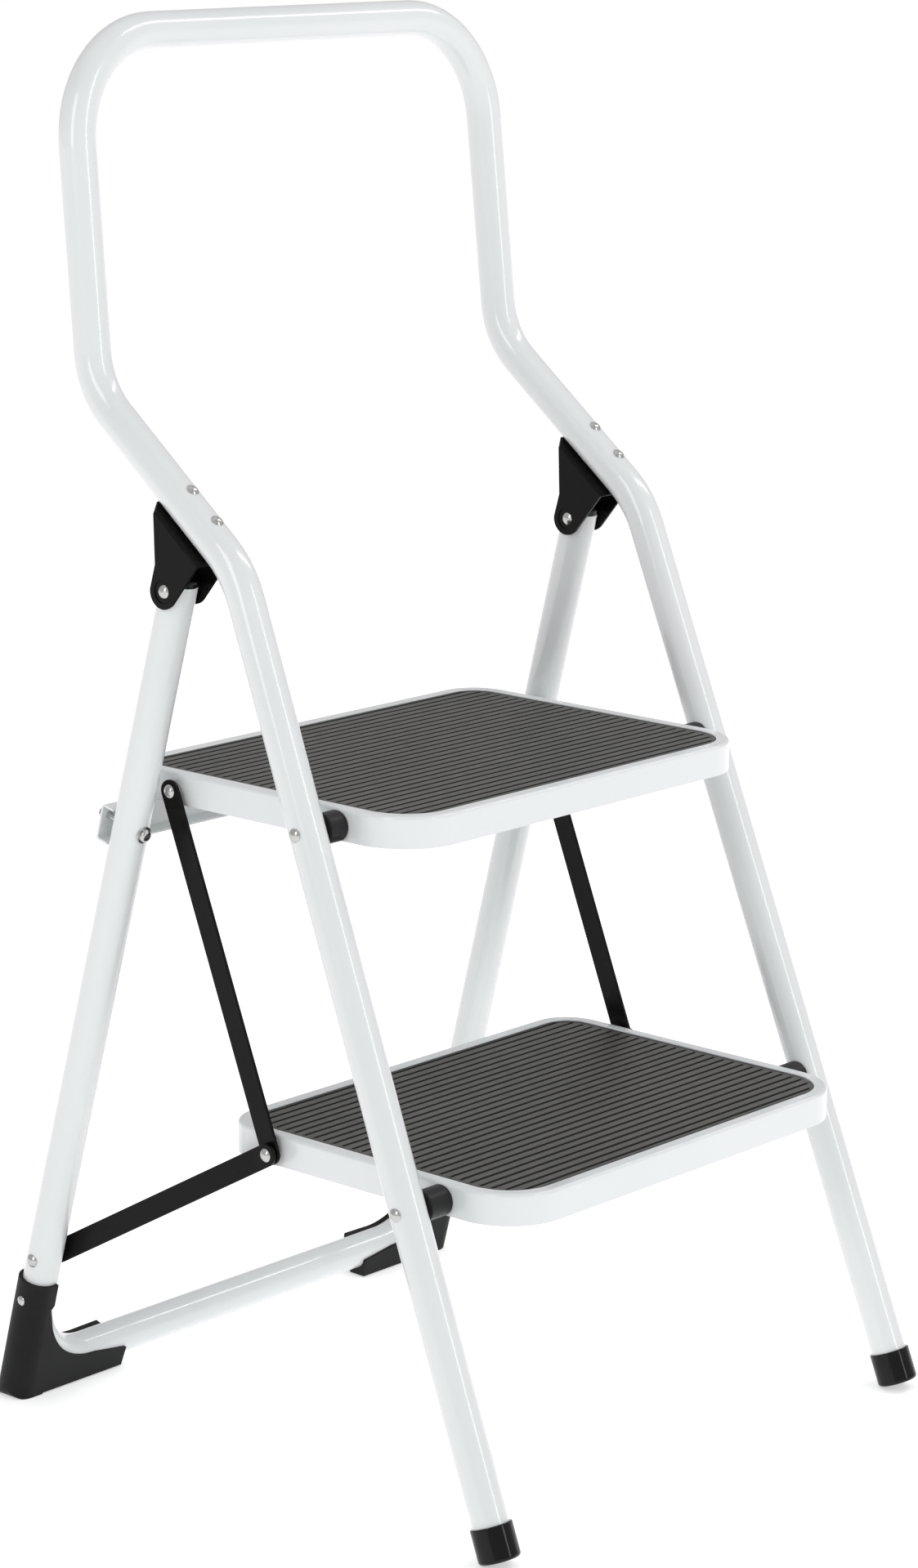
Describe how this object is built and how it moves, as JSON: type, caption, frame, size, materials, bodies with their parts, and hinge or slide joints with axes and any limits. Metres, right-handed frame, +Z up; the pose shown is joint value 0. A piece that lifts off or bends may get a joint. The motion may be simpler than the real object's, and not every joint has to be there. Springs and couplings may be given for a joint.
{
  "type": "step stool",
  "caption": "Folding step stool: bent white steel tube frame with a high handle, pressed treads with ribbed rubber mats, black brackets, links and foot boots.",
  "frame": {"origin": "on the floor, at the middle of the stool's width and depth when it stands open", "axes": "+Z up, the front that is climbed faces -Y, +X is to the climber's right"},
  "size_m": [0.4736, 0.4893, 0.9837],
  "materials": {
    "white_coat": "gloss white powder coat on steel",
    "black_coat": "satin black powder coat on steel",
    "mat_rubber": "matte charcoal ribbed rubber",
    "boot_plastic": "matte charcoal moulded plastic",
    "cap_plastic": "gloss black moulded plastic",
    "spacer_plastic": "satin black moulded plastic",
    "zinc": "bright zinc plate"
  },
  "bodies": {
    "front_frame": {"front_frame": "white_coat", "front_cap_left": "cap_plastic", "front_cap_right": "cap_plastic", "hinge_bracket_left": "black_coat", "hinge_bracket_right": "black_coat", "bracket_rivets": "zinc", "hinge_pin_left": "zinc", "hinge_pin_right": "zinc", "upper_step_spacer_left": "spacer_plastic", "upper_step_spacer_right": "spacer_plastic", "upper_step_pin_left": "zinc", "upper_step_pin_right": "zinc", "lower_step_spacer_left": "spacer_plastic", "lower_step_spacer_right": "spacer_plastic", "lower_step_pin_left": "zinc", "lower_step_pin_right": "zinc"},
    "rear_frame": {"rear_frame": "white_coat", "rear_leg_plug_left": "cap_plastic", "rear_leg_plug_right": "cap_plastic", "rear_boot_left": "boot_plastic", "rear_boot_right": "boot_plastic", "boot_rivets": "zinc", "rear_crossbar": "white_coat", "crossbar_screws": "zinc", "crossbar_washers": "zinc", "crossbar_nuts": "zinc", "anchor_rivet_left": "zinc", "anchor_rivet_right": "zinc"},
    "upper_step": {"upper_step_tray": "white_coat", "upper_step_mat": "mat_rubber", "upper_link_spacer_left": "zinc", "upper_link_spacer_right": "zinc", "upper_link_pin_left": "zinc", "upper_link_pin_right": "zinc"},
    "lower_step": {"lower_step_tray": "white_coat", "lower_step_mat": "mat_rubber", "lower_link_spacer_left": "zinc", "lower_link_spacer_right": "zinc", "lower_link_washer_left": "zinc", "lower_link_washer_right": "zinc", "lower_link_pin_left": "zinc", "lower_link_pin_right": "zinc"},
    "upper_link_left": {"upper_link_left": "black_coat"},
    "lower_link_left": {"lower_link_left": "black_coat", "link_end_rivet_left": "zinc"},
    "upper_link_right": {"upper_link_right": "black_coat"},
    "lower_link_right": {"lower_link_right": "black_coat", "link_end_rivet_right": "zinc"}
  },
  "joints": [
    {"name": "rear_fold", "type": "hinge", "parent": "front_frame", "child": "rear_frame", "pos_m": [0, 0.0738, 0.6086], "axis": [-1, 0, 0], "range_deg": [0, 37]},
    {"name": "upper_step_turn", "type": "hinge", "parent": "front_frame", "child": "upper_step", "pos_m": [0, -0.04854, 0.462], "axis": [1, 0, 0], "range_deg": [0, 59.7]},
    {"name": "lower_step_turn", "type": "hinge", "parent": "front_frame", "child": "lower_step", "pos_m": [0, -0.1443, 0.2232], "axis": [1, 0, 0], "range_deg": [0, 59.7]},
    {"name": "upper_link_turn_left", "type": "hinge", "parent": "upper_step", "child": "upper_link_left", "pos_m": [0, 0.10146, 0.462], "axis": [1, 0, 0], "range_deg": [-59.7, 0]},
    {"name": "lower_link_turn_left", "type": "hinge", "parent": "lower_step", "child": "lower_link_left", "pos_m": [0, 0.0057, 0.2232], "axis": [1, 0, 0], "range_deg": [-134.1, 0]},
    {"name": "upper_link_turn_right", "type": "hinge", "parent": "upper_step", "child": "upper_link_right", "pos_m": [0, 0.10146, 0.462], "axis": [1, 0, 0], "range_deg": [-59.7, 0]},
    {"name": "lower_link_turn_right", "type": "hinge", "parent": "lower_step", "child": "lower_link_right", "pos_m": [0, 0.0057, 0.2232], "axis": [1, 0, 0], "range_deg": [-134.1, 0]}
  ],
  "couplings": [
    {"joint": "upper_step_turn", "follows": "rear_fold", "ratio": 1.6065},
    {"joint": "lower_step_turn", "follows": "rear_fold", "ratio": 1.6065},
    {"joint": "upper_link_turn_left", "follows": "rear_fold", "ratio": -1.6065},
    {"joint": "lower_link_turn_left", "follows": "rear_fold", "ratio": -3.6165},
    {"joint": "upper_link_turn_right", "follows": "rear_fold", "ratio": -1.6065},
    {"joint": "lower_link_turn_right", "follows": "rear_fold", "ratio": -3.6165}
  ]
}
